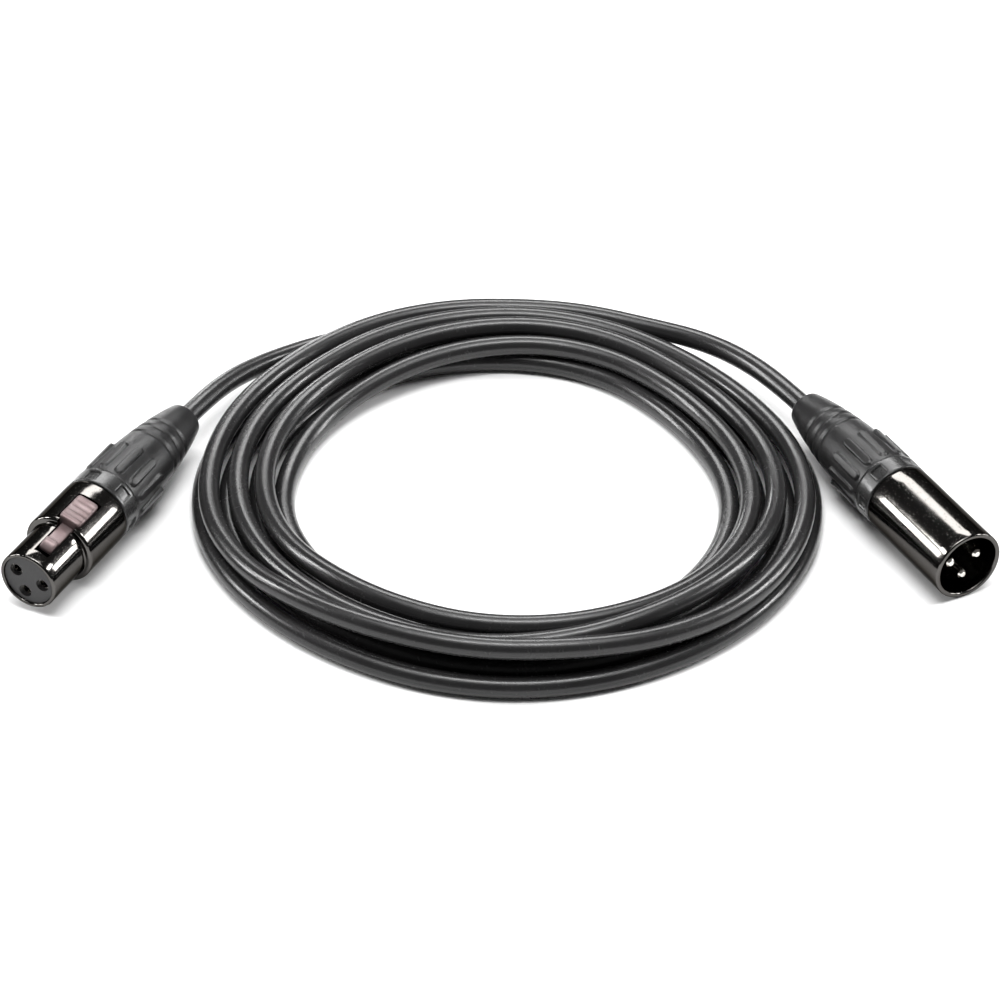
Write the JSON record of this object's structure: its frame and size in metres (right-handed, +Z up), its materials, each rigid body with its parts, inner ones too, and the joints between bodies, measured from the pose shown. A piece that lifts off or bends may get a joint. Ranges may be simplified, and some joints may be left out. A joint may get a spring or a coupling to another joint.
{
  "type": "microphone cable coil",
  "caption": "Balanced audio cable wound in a loose flat coil, with a latching socket connector on one end and a matching pin connector on the other.",
  "frame": {"origin": "on the surface that the cable lies on, midway between the two connectors, close to the middle of the coil", "axes": "+X from the socket connector to the pin connector, +Z up, and -Y towards the side that both mating faces look to"},
  "size_m": [0.2491, 0.1605, 0.0201],
  "materials": {
    "shell_metal": "polished dark nickel plate on a die-cast shell",
    "carrier_plastic": "moulded, fine matt texture",
    "contact_metal": "bright silver plate",
    "latch_metal": "dark nickel plate, slightly worn on the button",
    "spring_steel": "rolled spring steel",
    "nut_plastic": "glass-filled moulding, semi-gloss",
    "clamp_plastic": "acetal, natural white",
    "boot_rubber": "moulded rubber with a fine satin texture",
    "cable_jacket": "extruded flexible PVC, semi-gloss with a soft sheen",
    "core_red": "thin PVC insulation",
    "core_white": "thin PVC insulation",
    "core_screen": "black sleeve over the twisted screen"
  },
  "bodies": {
    "cable": {"female_shell": "shell_metal", "female_insert": "carrier_plastic", "female_ground_ring": "spring_steel", "female_chuck": "clamp_plastic", "female_back_nut": "nut_plastic", "female_boot": "boot_rubber", "female_jacket": "cable_jacket", "female_core_1": "core_screen", "female_contact_1": "contact_metal", "female_core_2": "core_red", "female_contact_2": "contact_metal", "female_core_3": "core_white", "female_contact_3": "contact_metal", "male_shell": "shell_metal", "male_insert": "carrier_plastic", "male_ground_ring": "spring_steel", "male_chuck": "clamp_plastic", "male_back_nut": "nut_plastic", "male_boot": "boot_rubber", "male_jacket": "cable_jacket", "male_core_1": "core_screen", "male_pin_1": "contact_metal", "male_core_2": "core_red", "male_pin_2": "contact_metal", "male_core_3": "core_white", "male_pin_3": "contact_metal", "female_latch_pin": "spring_steel", "female_latch_spring": "spring_steel", "cable_coil": "cable_jacket", "female_lead": "cable_jacket", "male_lead": "cable_jacket"},
    "latch": {"female_latch": "latch_metal"}
  },
  "joints": [
    {"name": "latch_press", "type": "hinge", "parent": "cable", "child": "latch", "pos_m": [-0.10308, -0.01096, 0.01474], "axis": [0.8474, -0.4318, -0.309], "range_deg": [0, 4.5], "stiffness_Nm_per_rad": 0.4, "springref_deg": -1.72, "deforming": ["female_latch_spring"]}
  ]
}
